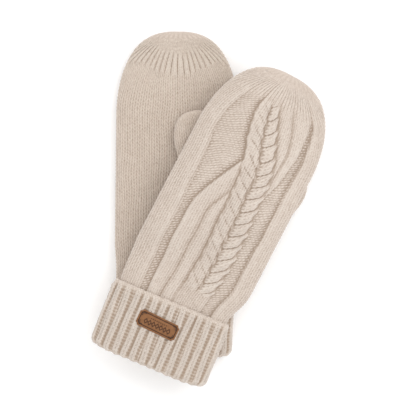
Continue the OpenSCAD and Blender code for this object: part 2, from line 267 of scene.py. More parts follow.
def back_relief(u, y, side):
    """Cable, ribs and gutters of the mitten's back. u is positive on the thumb's side."""
    u = u / narrowed(y, side)
    mid, half = along(CABLE_MID, y), along(CABLE_HALF, y)
    c_low, c_high = mid - half, mid + half
    band_l, band_r = along(BAND_LEFT, y), along(BAND_RIGHT, y)
    rib_l = np.minimum(along(RIB_LEFT, y), c_low)
    split = np.minimum(along(RIB_SPLIT, y), c_low)
    rib_r = np.where(y < 160, c_high, np.maximum(along(RIB_RIGHT, y), c_high))
    split_r = np.where(y < 176, c_high, np.maximum(along(RIB_RIGHT_SPLIT, y), c_high))

    u = u + 0.35 * waves(u, y, 26, 3 + side)
    row = y + 0.5 * waves(u, y, 30, 5 + side) + 0.3 * by_column(u, 7 + side)
    knit, purl = plain_knit(u, row), purl_knit(u, row - 0.45 * u)
    stitches = 0.6 * knit
    h = GROUND + 0.65 * purl
    for edge in (band_l - u, u - band_r):
        h = np.where(edge > 0, mix(GROUND, 0.15, ease(edge, -1.0, 4.5)) + stitches, h)
    for low, high in ((rib_l, split), (split, c_low), (c_high, split_r), (split_r, rib_r)):
        ribs = GROUND + 1.45 * rib_bulge(u, low, high) + stitches
        h = np.where((u >= low) & (u < high), ribs, h)

    # The cable: lobes that rise outward from its middle, the two sides half a lobe apart
    s = u - mid - 0.4 * np.sin(2 * np.pi * y / CABLE_PITCH)
    r = np.abs(s) / half
    right = ease(s, -0.6, 0.6)
    # the grooves curve: they leave the middle level and turn up as they go out
    climb = np.abs(s) * mix(0.9, 0.4 + 0.65 * r**1.5, right)
    phase = (row - climb + right * 0.5 * CABLE_PITCH) / CABLE_PITCH
    part = phase - np.floor(phase)
    round_lobe = np.clip(1 - (2 * part - 1) ** 2, 0, 1) ** 0.75
    keep = mix(0.42, 0.6, right) * (1 - mix(0.55, 0.15, right) * ease(r, 0.4, 1.0))
    lobe = 1 - keep * (1 - round_lobe)
    size = 1 + 0.1 * by_column(phase, 21, 1.0)
    # each lobe's outer end is rounded too, so the cable's border is scalloped
    end = 1 - 0.2 * right * (2 * part - 1) ** 2
    fall = np.clip((r - 0.45 * end) / (0.56 * end), 0, 1)
    across = mix(0.35, 1, ease(r, 0.0, 0.32)) * (1 - fall**2)
    strands = plain_knit(2 * WALE * part, 0.85 * np.abs(s))
    plait = -0.75 + size * 2.2 * lobe * across + 0.9 * mix(knit, strands, right) * across**0.5
    plain = GROUND + 1.3 * rib_bulge(u, c_low, c_high) ** 0.6 + stitches
    shown = ease(y, 69, 76) * (1 - ease(y, 228, 236))
    centre = -0.55 * np.exp(-((s / 1.1) ** 2)) * (1 - round_lobe) ** 2 * shown
    h = np.where((u >= c_low) & (u < c_high), mix(plain, plait, shown) + centre, h)
    # The gutters are deepest beside the left rib or cable, and beside the right band
    for d, far in ((u - rib_l, 4.5), (u - band_r, 4.0)):
        h = h - 0.75 * np.exp(-((d / np.where(d < 0, far, 1.3)) ** 2)) * ease(y, 50, 60)
    # Wool fills a groove: the deepest parts are drawn up towards a soft floor
    inside = (u > np.maximum(rib_l, band_l) + 1.5) & (u < rib_r - 1.5)
    h = np.where(inside, GROOVE_FLOOR + np.logaddexp(0, 4 * (h - GROOVE_FLOOR)) / 4, h)
    # Decreases draw the fabric into fine upright ridges, and the last rounds are plain
    crown = ease(y, 226, 240)
    fans = -0.2 + 0.55 * np.abs(np.cos(np.pi * (u / WALE - 0.5))) ** 0.7 + 0.35 * knit
    h = mix(h, fans, 0.8 * crown)
    return h * (1 - 0.75 * ease(y, 244, 254))


def palm_relief(u, y, side):
    """Plain knit, with short fanned ridges where the crown is decreased."""
    squeeze = narrowed(y, side)
    u = u / squeeze
    u = u + 0.3 * waves(u, y, 28, 31 + side)
    row = y + 0.5 * waves(u, y, 34, 33 + side) + 0.35 * by_column(u, 35 + side)
    h = -0.15 + 0.7 * plain_knit(u, row)
    # the decreases lie in an arc about the tip: narrow slots between rounded ridges
    rise = 6 * np.minimum(np.abs(u * squeeze) / 28, 1.3) ** 2 + 1.4 * by_column(u, 37 + side, 6.2)
    fan = ease(y, 223 + rise, 228 + rise) * (1 - ease(y, 239 + rise, 245 + rise))
    h = h + fan * (1.3 * np.abs(np.sin(np.pi * u / 6.2)) ** 0.45 - 0.85)
    if side == LEFT:
        h = h - 0.5  # room for the right mitten's thumb to swing under it
    return h * (1 - 0.5 * ease(y, 250, 255))


# ---------------------------------------------------------------------------
# Meshes


def grid_faces(rows, cols, base, closed_u=False, closed_v=False):
    """Quads between the points of a grid, whose first point has the number base."""
    r = np.arange(rows if closed_v else rows - 1)
    c = np.arange(cols if closed_u else cols - 1)
    rr, cc = np.meshgrid(r, c, indexing="ij")
    r2, c2 = (rr + 1) % rows, (cc + 1) % cols
    quads = np.stack([rr * cols + cc, rr * cols + c2, r2 * cols + c2, r2 * cols + cc], -1)
    return (quads.reshape(-1, 4) + base).tolist()


def stitch(a, b):
    """Triangles between two lines of vertices whose ends belong together."""
    faces, i, j, n, m = [], 0, 0, len(a) - 1, len(b) - 1
    while i < n or j < m:
        if j == m or (i < n and (i + 1) * m <= (j + 1) * n):
            faces.append((a[i], a[i + 1], b[j]))
            i += 1
        else:
            faces.append((a[i], b[j + 1], b[j]))
            j += 1
    return faces


def normals(p, closed_u=False, closed_v=False):
    """Unit normals of a grid of points, before it is known which way is out."""

    def slope(axis, closed):
        if closed:
            return np.roll(p, -1, axis) - np.roll(p, 1, axis)
        return np.gradient(p, axis=axis)

    n = np.cross(slope(1, closed_u), slope(0, closed_v))
    return n / np.maximum(np.linalg.norm(n, axis=-1, keepdims=True), 1e-9)


def outward(p, inner, **closed):
    """Unit normals of the grid p that point away from the matching grid inner."""
    n = normals(p, **closed)
    return n * np.sign(np.median((n * (p - inner)).sum(-1)))


def build(name, points, faces, shade=None, border=()):
    """A closed mesh object from points in millimetres. shade is a value a point, kept for the material.
    Edges between the points listed in border are sharp."""
    points = np.array(points, float)
    low = points[:, 2] < PRESSED
    depth = (PRESSED - points[low, 2]) / (PRESSED - CLEAR)
    points[low, 2] = CLEAR + (PRESSED - CLEAR) * np.exp(-depth)  # fabric pressed flat on the floor
    me = bpy.data.meshes.new(name)
    me.from_pydata((points * 0.001).tolist(), [], faces)
    if shade is not None:
        me.attributes.new("shade", "FLOAT", "POINT").data.foreach_set("value", np.asarray(shade, np.float32))
    bm = bmesh.new()
    bm.from_mesh(me)
    bmesh.ops.recalc_face_normals(bm, faces=bm.faces)
    if bm.calc_volume(signed=True) < 0:
        bmesh.ops.reverse_faces(bm, faces=bm.faces)
    for f in bm.faces:
        f.smooth = True
    bm.to_mesh(me)
    bm.free()
    if len(border):
        on_border = np.zeros(len(points), bool)
        on_border[border] = True
        ends = np.zeros(len(me.edges) * 2, np.int32)
        me.edges.foreach_get("vertices", ends)
        sharp = on_border[ends.reshape(-1, 2)].all(1)
        me.attributes.new("sharp_edge", "BOOLEAN", "EDGE").data.foreach_set("value", sharp)
    ob = bpy.data.objects.new(name, me)
    bpy.context.scene.collection.objects.link(ob)
    return ob


def open_sheet(name, outer, inner, shade):
    """A thick sheet between a fine outer grid and a coarse inner one, joined round the border."""
    (r, c), (ri, ci) = outer.shape[:2], inner.shape[:2]
    base = r * c
    faces = grid_faces(r, c, 0) + grid_faces(ri, ci, base)
    o = np.arange(r * c).reshape(r, c)
    i = np.arange(ri * ci).reshape(ri, ci) + base
    for a, b in ((o[0], i[0]), (o[-1], i[-1]), (o[:, 0], i[:, 0]), (o[:, -1], i[:, -1])):
        faces += stitch(a.tolist(), b.tolist())
    points = np.concatenate([outer.reshape(-1, 3), inner.reshape(-1, 3)])
    border = np.concatenate([o[0], o[-1], o[:, 0], o[:, -1]])
    return build(name, points, faces, np.concatenate([shade.reshape(-1), np.full(ri * ci, 0.5)]), border)


def tube_shell(name, outer, inner, shade, capped=False):
    """A thick tube, open at its first ring, and at its last unless capped."""
    (r, c), (ri, ci) = outer.shape[:2], inner.shape[:2]
    base = r * c
    faces = grid_faces(r, c, 0, closed_u=True) + grid_faces(ri, ci, base, closed_u=True)
    o = np.arange(r * c).reshape(r, c)
    i = np.arange(ri * ci).reshape(ri, ci) + base

    def ring(line):
        return line.tolist() + [int(line[0])]

    faces += stitch(ring(o[0]), ring(i[0]))
    points = [outer.reshape(-1, 3), inner.reshape(-1, 3)]
    shades = [shade.reshape(-1), np.full(ri * ci, 0.5)]
    if capped:
        tips = [base + ri * ci, base + ri * ci + 1]
        points += [outer[-1].mean(0)[None], inner[-1].mean(0)[None]]
        shades += [shade[-1].mean()[None], np.array([0.5])]
        for line, tip in ((ring(o[-1]), tips[0]), (ring(i[-1]), tips[1])):
            faces += [(line[k], line[k + 1], tip) for k in range(len(line) - 1)]
    else:
        faces += stitch(ring(o[-1]), ring(i[-1]))
    return build(name, np.concatenate(points), faces, np.concatenate(shades))


def cut_hole(ob, side, half_w, half_h):
    """Cuts the slot for the thumb through the palm side, and keeps each point's shade."""
    old = np.zeros(len(ob.data.vertices) * 3)
    ob.data.vertices.foreach_get("co", old)
    shade = np.zeros(len(ob.data.vertices))
    ob.data.attributes["shade"].data.foreach_get("value", shade)
    tree = kdtree.KDTree(len(shade))
    for k, p in enumerate(old.reshape(-1, 3)):
        tree.insert(p, k)
    tree.balance()
    at = place(np.array([THUMB_X, THUMB_Y, 0.0]), side)
    turn = -math.radians(TURN[side] + THUMB_LEAN[side])
    t = np.linspace(0, 2 * np.pi, 48, endpoint=False)
    x = half_h * np.cos(t) + np.sign(np.cos(t)) * (half_w - half_h)
    y = half_h * np.sin(t)
    z0, z1 = (0, HAND_T + 4) if side == RIGHT else (-HAND_T - 4, 0)
    x, y = turned(x, y, turn)
    flat = np.stack([x + at[0], y + at[1]], -1)
    low = np.concatenate([flat, np.full((48, 1), at[2] + z0)], 1)
    high = np.concatenate([flat, np.full((48, 1), at[2] + z1)], 1)
    faces = [tuple(range(48)), tuple(range(48, 96))]
    faces += [(k, (k + 1) % 48, 48 + (k + 1) % 48, 48 + k) for k in range(48)]
    cutter = build("slot_cutter", np.concatenate([low, high]), faces)
    cut = ob.modifiers.new("slot", "BOOLEAN")
    cut.object, cut.operation, cut.solver = cutter, "DIFFERENCE", "MANIFOLD"
    bpy.context.view_layer.update()
    me = bpy.data.meshes.new_from_object(ob.evaluated_get(bpy.context.evaluated_depsgraph_get()))
    ob.modifiers.clear()
    ob.data = me
    bpy.data.objects.remove(cutter)
    if "shade" in me.attributes:
        me.attributes.remove(me.attributes["shade"])
    found = [shade[tree.find(v.co)[1]] for v in me.vertices]
    me.attributes.new("shade", "FLOAT", "POINT").data.foreach_set("value", np.asarray(found, np.float32))
    return ob


def hand_sheet(name, side, palm):
    """The palm or the back: half of the hand's tube from the cuff to the crown."""
    y = np.arange(JOIN_Y + GAP, HAND_LEN - CROWN_D, ROW_STEP)
    y = np.append(y, HAND_LEN - CROWN_D)
    start, end = (math.radians(4), math.radians(176)) if palm else (math.radians(184), math.radians(356))
    n = 225
    t, length = even_angles(HAND_W[side] / 2, HAND_T / 2, start, end, n)
    u = np.linspace(-0.5, 0.5, n) * length * (-1 if palm else 1)
    cx, cz = super_round(t)

    outer = ring_grid(hand_a(y, side), y, hand_b(y), cx, cz)
    uu, yy = np.meshgrid(u, y)
    h = (palm_relief if palm else back_relief)(uu, yy, side)
    step = length / n
    shade = crevice(h, step, ROW_STEP)
    shade = shade + 0.05 * fuzz(h.shape, step, ROW_STEP, 51 + side)
    # Painted light: the palm is lighter towards the crown and darker towards the cuff
    if palm:
        shade = shade + 0.12 * ease(yy, 190, 250) - 0.07 * (1 - ease(yy, 60, 150))
    h = h + 0.22 * waves(uu, yy, 38, 41 + side + 2 * palm) + 0.08 * fuzz(h.shape, step, ROW_STEP, 61 + side)
    # Both borders sink to the side seams
    near = np.minimum(np.arange(n), np.arange(n)[::-1]) * step
    h = h * ease(near, -1.5, 3.0)[None, :]
    p = place(outer, side)
    middle = place(outer * np.array([0.97, 1, 0.5]), side)
    p = p + outward(p, middle) * h[..., None]
    cols = np.unique(np.linspace(0, n - 1, 46).round().astype(int))
    rows = np.unique(np.linspace(0, len(y) - 1, 60).round().astype(int))
    coarse = y[rows]
    inner = ring_grid(hand_a(coarse, side) - WALL, coarse, hand_b(coarse) - WALL, cx[cols], cz[cols])
    return open_sheet(name, p, place(inner, side), shade)


def full_rings(profile, a, b, n):
    """Rings round a tube for a profile of (y, inset) rows, as points of the mitten's own frame."""
    t, length = even_angles(a, b, 0, 2 * np.pi, n + 1)
    cx, cz = super_round(t[:-1])
    y, inset = profile[:, 0], profile[:, 1]
    return ring_grid(a - inset, y, b - inset, cx, cz), length


def rib_height(f):
    """Two-by-two rib at phase f: two rounded columns, then a valley."""
    q = f - np.floor(f)
    knit = np.clip(q / RIB_SHARE, 0, 1)
    columns = np.abs(np.sin(2 * np.pi * knit)) ** 0.5 * (0.72 + 0.28 * np.sin(np.pi * knit))
    valley = np.clip((q - RIB_SHARE) / (1 - RIB_SHARE), 0, 1)
    raised = -0.4 + 0.95 * np.sin(np.pi * knit) ** 0.6 * (0.5 + 0.5 * columns)
    return np.where(q < RIB_SHARE, raised, -0.4 - 0.4 * np.sin(np.pi * valley) ** 0.8)


def cuff_mesh(name, side):
    """The turned-back cuff: a rolled free edge, the ribbed outside, the round fold and the plain inside."""
    r, edge_rows, fold_rows, n = 1.5, 9, 14, 16 * RIBS
    down = np.arange(CUFF_H - r - 0.7, FOLD_H + 1.2, -ROW_STEP)
    rows = []
    for k in np.linspace(0, math.pi, edge_rows):  # free edge, from the inside over to the outside
        rows.append((CUFF_H - r + r * math.sin(k), r + (r - 0.05) * math.cos(k)))
    rows += [(y, 0.0) for y in down]
    for k in np.linspace(0.12, math.pi, fold_rows):
        sink = 4.4 * math.sin(k) * (1 if k < math.pi / 2 else 0.95)
        rows.append((FOLD_H + 1.0 - sink, 3.2 * (1 - math.cos(k))))
    rows.append((FOLD_H + 0.1, 4.6))
    rows += [(y, CUFF_WALL) for y in np.linspace(FOLD_H + 1.2, CUFF_H - r - 1.2, 10)]
    prof = np.array(rows)
    p, length = full_rings(prof, CUFF_W / 2, CUFF_T / 2, n)
    # Relief is on the rows from the middle of the free edge to the inside of the fold
    outside = np.zeros(len(prof))
    outside[edge_rows // 2 : edge_rows + len(down) + fold_rows - 3] = 1
    outside = np.convolve(np.pad(outside, 2, mode="edge"), np.ones(5) / 5, "valid")
    run = np.cumsum(np.concatenate([[0], np.hypot(*np.diff(prof, axis=0).T)]))
    ff, yy = np.meshgrid(np.arange(n) / n * RIBS, run)
    wander = 0.06 * np.sin(yy / 9 + np.floor(ff) * 2.1) + 0.05 * np.sin(yy / 17 + np.floor(ff) * 1.3)
    h = rib_height(ff + wander)
    q = ff + wander - np.floor(ff + wander)
    column = 0.5 + 0.5 * np.cos(2 * np.pi * (yy / COURSE - 1.1 * np.abs(((q / 0.31) % 1) - 0.5) * 2))
    bumps = 0.5 + 0.5 * np.cos(2 * np.pi * yy / COURSE)
    h = h + np.where(q < RIB_SHARE, 0.95 * column * np.clip(h + 0.6, 0, 1), 0.3 * bumps)
    # The ribs fade into a plain border at the free edge and at the fold
    y_out = prof[:, 0]
    level = 0.85 * ease(y_out, CUFF_H - 6.5, CUFF_H - 1) + 0.6 * (1 - ease(y_out, -0.5, 4))
    h = mix(h, 0.1 + 0.35 * column, level[:, None])
    # The patch presses the ribs under it flat
    aside, beyond = np.abs(p[..., 0] - PATCH_X) - PATCH_W / 2, np.abs(p[..., 1] - PATCH_Y) - PATCH_H / 2
    under = np.maximum(aside, beyond)
    h = h - 0.3
    h = np.where(p[..., 2] < 0, mix(np.minimum(h, 0.1), h, ease(under, 0, 1.5)), h)
    step = length / n
    shade = crevice(h, step, ROW_STEP, wide=2.2) + 0.04 * fuzz(h.shape, step, ROW_STEP, 73 + side)
    round_way = np.cos(ff / RIBS * 2 * np.pi) * 36
    h = h + 0.08 * fuzz(h.shape, step, ROW_STEP, 71 + side) + 0.15 * waves(round_way, yy, 40, 75 + side)
    # Ribs reach a little further than valleys at the free edge and at the fold
    reach = rib_height(ff) + 0.2
    top, low = ease(y_out, CUFF_H - 5, CUFF_H), 1 - ease(y_out, 0, 7)
    p[..., 1] += top[:, None] * 0.15 * reach - low[:, None] * 0.18 * reach
    # The fold's corners are drawn in
    p[..., 1] += (1 - ease(y_out, 0, 16))[:, None] * 3.6 * (np.abs(p[..., 0]) / (CUFF_W / 2)) ** 7
    w = place(p, side)
    core = place(p * np.array([0.97, 1, 0.8]), side)
    n_out = outward(w, core, closed_u=True, closed_v=True)
    w = w + n_out * (h * outside[:, None])[..., None]
    faces = grid_faces(len(prof), n, 0, closed_u=True, closed_v=True)
    outside = outside.repeat(n)
    return build(name, w.reshape(-1, 3), faces, shade.reshape(-1) * outside + 0.45 * (1 - outside))


def inner_cuff_mesh(name, side):
    """The layer against the wrist, ribbed on both faces."""
    face_rows, n = 60, 12 * RIBS
    ys = np.linspace(FOLD_H + 0.6, JOIN_Y, face_rows)
    prof = np.array([(y, 0.0) for y in ys] + [(y, WALL - GAP) for y in ys[::-1]])
    p, length = full_rings(prof, WRIST_W / 2, WRIST_T / 2, n)
    ff, yy = np.meshgrid(np.arange(n) / n * RIBS, prof[:, 0])
    inside = (np.arange(len(prof)) >= face_rows)[:, None]
    h = 0.45 * rib_height(ff + 0.31 * inside) - 0.15 + 0.12 * np.cos(2 * np.pi * yy / COURSE)
    ends = ease(yy, FOLD_H + 0.6, FOLD_H + 3) * (1 - ease(yy, JOIN_Y - 2, JOIN_Y))
    h = h * mix(0.3, 1, ends)
    w = place(p, side)
    core = place(p * np.array([0.97, 1, 0.8]), side)
    # Seen round the closed profile, the normals of both faces point out of the fabric
    n_out = normals(w, closed_u=True)
    n_out = n_out * np.sign(np.median((n_out * (w - core))[:face_rows].sum(-1)))
    w = w + n_out * (0.6 * h)[..., None]
    faces = grid_faces(len(prof), n, 0, closed_u=True, closed_v=True)
    return build(name, w.reshape(-1, 3), faces, crevice(h, length / n, 0.8).reshape(-1))


def crown_mesh(name, side):
    """The last rounds, drawn together at the fingertips."""
    d = (CROWN_D - TIP_HOLE) * (1 - np.sin(np.linspace(0, np.pi / 2, 18))) + TIP_HOLE
    n, ridges = 220, 26
    t, _ = even_angles(20, 5, 0, 2 * np.pi, n + 1)
    cx, cz = super_round(t[:-1])
    y = HAND_LEN - d
    p = ring_grid(hand_a(y, side), y, hand_b(y), cx, cz)
    ridge = 0.14 * np.cos(2 * np.pi * ridges * (np.arange(n) / n))
    h = ridge[None, :] * ease(d, 0.1, 4.5)[:, None] * (1 - 0.3 * ease(d, 5, 6))[:, None]
    w = place(p, side)
    core = place(p * np.array([0.8, 1, 0.5]) + np.array([0, -3.0, 0]), side)
    w = w + outward(w, core, closed_u=True) * h[..., None]
    faces = grid_faces(len(y), n, 0, closed_u=True)
    tip, root = len(y) * n, len(y) * n + 1
    last = (len(y) - 1) * n
    faces += [(last + j, last + (j + 1) % n, tip) for j in range(n)]
    faces += [(j, (j + 1) % n, root) for j in range(n)]
    points = np.concatenate([w.reshape(-1, 3), w[-1].mean(0)[None], w[0].mean(0)[None]])
    # Painted shade: lighter on the ridges, darker between them
    shade = np.clip(0.55 + 0.6 * h, 0, 1)
    return build(name, points, faces, np.concatenate([shade.reshape(-1), [0.5, 0.5]]), np.arange(n))


def lining_mesh(name, side):
    """The fleece bag inside the hand."""
    out, into = WALL + 2 * GAP, WALL + 2 * GAP + LINING_WALL
    tip = 1 - np.sin(np.linspace(0.06, np.pi / 2, 16))
    y = np.concatenate([np.linspace(8, HAND_LEN - 30, 110), HAND_LEN - 12 - 18 * tip])
    n = 120
    t, _ = even_angles(45, 6, 0, 2 * np.pi, n + 1)
    cx, cz = super_round(t[:-1])
    rng = np.random.default_rng(5 + side)
    pile = blurred(rng.standard_normal((len(y), n)), 1.9, 2.0, 2.2) * 0.9

    def rings(inset, depth):
        yy = np.minimum(y, HAND_LEN - 12 - depth)
        return ring_grid(hand_a(yy, side) - inset, yy, hand_b(yy) - inset, cx, cz)

    outer = place(rings(out, 0), side)
    inner = rings(into, 1.0)
    fleece = place(inner, side)
    core = place(inner * np.array([0.9, 1, 0.5]), side)
    fleece = fleece - outward(fleece, core, closed_u=True) * np.clip(pile, -0.2, 0.5)[..., None]
    return tube_shell(name, outer, fleece, np.full((len(y), n), 0.5), capped=True)


def thumb_point(side, phi, s, q0, q1, half_t1):
    """Points of the thumb's surface: phi is how far it has turned over its root's front edge."""
    lean = math.radians(THUMB_LEAN[side])
    d = np.array([math.sin(lean), math.cos(lean)])
    e = np.array([d[1], -d[0]])
    front = np.array([THUMB_X, THUMB_Y]) + d * ROOT_HALF_L
    r = half_t1 + BEND_R + q1
    fx = front[0] + e[0] * q0 + d[0] * (s - r * np.cos(phi))
    fy = front[1] + e[1] * q0 + d[1] * (s - r * np.cos(phi))
    top = palm_z(np.array(0.0), np.array(THUMB_Y), side) + ROOT_GAP
    sag = palm_z(fx, fy, side) - palm_z(np.array(0.0), np.array(THUMB_Y), side)
    return np.stack([fx, fy, top + r * np.sin(phi) + sag * (1 - phi / (np.pi / 2)) * 0.8], -1)


def thumb_grid(side, inset, tip_in, bends, lengths, n):
    """Rings of the thumb drawn in by inset, with the distance along it of each."""
    t, length = even_angles(THUMB_W / 2, THUMB_T / 2, 0, 2 * np.pi, n + 1)
    cx, cz = super_round(t[:-1])
    straight = THUMB_LEN - ROOT_HALF_L
    rows, run = [], []
    for k in bends:
        half_l = mix(ROOT_HALF_L, THUMB_T / 2, math.sqrt(k))
        half_w = mix(ROOT_HALF_W, THUMB_W / 2, k)
        q0, q1 = (half_w - inset) * cx, (half_l - inset) * cz
        rows.append(thumb_point(side, k * np.pi / 2, 0.0, q0, q1, half_l))
        run.append(-14 * (1 - k))
    for k in lengths:
        s = k * (straight - tip_in - 0.1)
        d = straight - s
        half_w = THUMB_W / 2 * dome(np.array(d), THUMB_ROUND, 0.42)
        half_t = THUMB_T / 2 * dome(np.array(d), THUMB_ROUND * 0.7, 0.42)
        q0, q1 = (half_w - inset) * cx, (half_t - inset) * cz
        rows.append(thumb_point(side, np.pi / 2, s, q0, q1, THUMB_T / 2))
        run.append(s)
    return np.array(rows), np.array(run), length


def rounded_steps(n, start=0.0):
    """Steps from start to 1, closer together at the rounded end."""
    even = np.linspace(start, 0.62, int(n * 0.6), endpoint=False)
    end = 0.62 + 0.38 * np.sin(np.linspace(0, np.pi / 2, n - len(even)))
    return np.concatenate([even, end])


def thumb_mesh(name, side):
    """The thumb's tube of plain knit, turned over at its root."""
    n = 196
    bends, lengths = np.linspace(0, 1, 20), rounded_steps(92, 0.01)
    p, run, length = thumb_grid(side, 0, 0.0, bends, lengths, n)
    core, _, _ = thumb_grid(side, THUMB_T * 0.3, 2.0, bends, lengths, n)
    u = np.arange(n) / n * length
    columns = round(length / WALE)
    uu, vv = np.meshgrid(u * columns * WALE / length, run)
    row = vv + 0.3 * by_column(uu, 81 + side) + 0.4 * waves(uu, vv, 30, 83 + side)
    h = -0.55 + 0.7 * plain_knit(uu, row)
    step = length / n
    shade = crevice(h, step, ROW_STEP) + 0.05 * fuzz(h.shape, step, ROW_STEP, 89 + side)
    h = h + 0.08 * fuzz(h.shape, step, ROW_STEP, 85 + side) + 0.15 * waves(vv, vv * 0.3, 30, 87)
    h = h * (1 - ease(vv, run[-1] - 8, run[-1] - 1))
    w, c = place(p, side), place(core, side)
    w = w + outward(w, c, closed_u=True) * h[..., None]
    # The root's first ring goes down to the palm
    foot = p[0] + np.array([0, 0, -ROOT_GAP + 0.1])
    spread = p[0] - p[0].mean(0)
    foot[:, :2] += 0.5 * spread[:, :2] / np.linalg.norm(spread[:, :2], axis=-1, keepdims=True)
    w = np.concatenate([place(foot, side)[None], w])
    # Painted shade: the foot ring, where the thumb meets the palm, is half as light
    shade = np.concatenate([shade[:1] * 0.5, shade])
    bends, lengths = np.linspace(0, 1, 8), rounded_steps(30, 0.03)
    inner, _, _ = thumb_grid(side, THUMB_WALL, THUMB_WALL + 1, bends, lengths, 56)
    return tube_shell(name, w, place(inner, side), shade, capped=True)


def thumb_lining_mesh(name, side):
    """The fleece inside the thumb."""
    out = THUMB_WALL + GAP
    into = out + THUMB_LINING_WALL
    bends, lengths = np.linspace(0, 1, 10), rounded_steps(34, 0.03)
    outer, _, _ = thumb_grid(side, out, out + 2, bends, lengths, 72)
    inner, _, _ = thumb_grid(side, into, into + 3, bends, lengths, 72)
    return tube_shell(name, place(outer, side), place(inner, side), np.full(outer.shape[:2], 0.5), capped=True)


def yarn(path, radius, away, twist=0.55, closed=False, n=10):
    """A twisted yarn along a path of points in the pair's frame. radius is a value a point."""
    path, radius = np.asarray(path), np.asarray(radius)
    tangent = np.roll(path, -1, 0) - np.roll(path, 1, 0) if closed else np.gradient(path, axis=0)
    tangent /= np.linalg.norm(tangent, axis=-1, keepdims=True)
    side_way = np.cross(tangent, away)
    side_way /= np.linalg.norm(side_way, axis=-1, keepdims=True)
    up = np.cross(side_way, tangent)
    run = np.concatenate([[0], np.cumsum(np.linalg.norm(np.diff(path, axis=0), axis=-1))])
    angle = np.linspace(0, 2 * np.pi, n, endpoint=False)[None, :]
    ply = np.cos(2 * (angle - twist * run[:, None] * 2 * np.pi / 3.2))
    r = radius[:, None] * (1 + 0.16 * ply)
    across = np.cos(angle)[..., None] * side_way[:, None]
    over = np.sin(angle)[..., None] * up[:, None]
    p = path[:, None] + r[..., None] * (across + over)
    m = len(path)
    faces = grid_faces(m, n, 0, closed_u=True, closed_v=closed)
    points = p.reshape(-1, 3)
    # Painted shade: darker in the grooves between the plies
    shade = np.clip(0.5 + 0.4 * ply, 0, 1).reshape(-1)
    if not closed:
        points = np.concatenate([points, path[:1], path[-1:]])
        shade = np.concatenate([shade, [0.5, 0.5]])
        faces += [(j, (j + 1) % n, m * n) for j in range(n)]
        faces += [((m - 1) * n + j, (m - 1) * n + (j + 1) % n, m * n + 1) for j in range(n)]
    return points, faces, shade


def joined(name, parts):
    """One mesh object from several (points, faces, shade)."""
    points, faces, shades, base = [], [], [], 0
    for p, f, s in parts:
        points.append(p)
        shades.append(s)
        faces += [tuple(k + base for k in face) for face in f]
        base += len(p)
    return build(name, np.concatenate(points), faces, np.concatenate(shades))


def side_seams_mesh(name, side):
    """The linked seams down both sides of the hand."""
    parts = []
    y = np.arange(JOIN_Y + GAP + 0.4, HAND_LEN - 6.6, 0.55)
    for s in (-1, 1):
        a = hand_a(y, side)
        link = 0.16 * np.cos(2 * np.pi * y / COURSE)
        path = np.stack([s * (a - 1.15), y, np.zeros(len(y))], -1)
        w = place(path, side)
        radius = (1.12 + link) * np.minimum(hand_b(y) / 9.0, 1) ** 0.5
        parts.append(yarn(w, radius, np.array([0.0, 0, 1]), twist=0.0))
    return joined(name, parts)


def thumb_seam_mesh(name, side):
    """The round of picked-up stitches about the thumb's root, thin where the thumb lies over it."""
    n = 130
    t, _ = even_angles(ROOT_HALF_W, ROOT_HALF_L, 0, 2 * np.pi, n + 1)
    cx, cz = super_round(t[:-1])
    low = thumb_point(side, 0.0, 0.0, ROOT_HALF_W * cx, ROOT_HALF_L * cz, ROOT_HALF_L)
    path = thumb_point(side, 0.0, 0.0, (ROOT_HALF_W + 1) * cx, (ROOT_HALF_L + 1) * cz, ROOT_HALF_L)
    away = path - low
    away /= np.linalg.norm(away, axis=-1, keepdims=True)
    back = ease(np.sin(t[:-1]), -0.1, 0.5)
    path = path + 0.2 * away
    path[:, 2] += mix(-0.1, 0.6, back)
    radius = mix(0.3, 0.85, back)
    return joined(name, [yarn(place(path, side), radius, np.array([0.0, 0, 1]), closed=True)])


def on_cuff(p, side):
    """Points of a flat piece, drawn facing up, laid on the back of the cuff and bent to it."""
    lx, ly = turned(p[:, 0], p[:, 1], -math.radians(PATCH_TILT))
    x, y = PATCH_X + lx, PATCH_Y + ly
    u = np.abs(x) / (CUFF_W / 2)
    surface = CUFF_T / 2 * np.minimum(1.02 * (1 - u**SQUARE) ** (1 / SQUARE), 1)
    return place(np.stack([x, y, -(surface + 0.15 + p[:, 2])], -1), side)


def patch_outline(x, y):
    """Distance outside the patch's notched outline, negative inside."""
    w, h = PATCH_W / 2, PATCH_H / 2
    box = np.maximum(np.abs(x) - w, np.abs(y) - h)
    notch = PATCH_NOTCH - np.hypot(np.abs(x) - w, np.abs(y) - h)
    return np.maximum(box, notch)


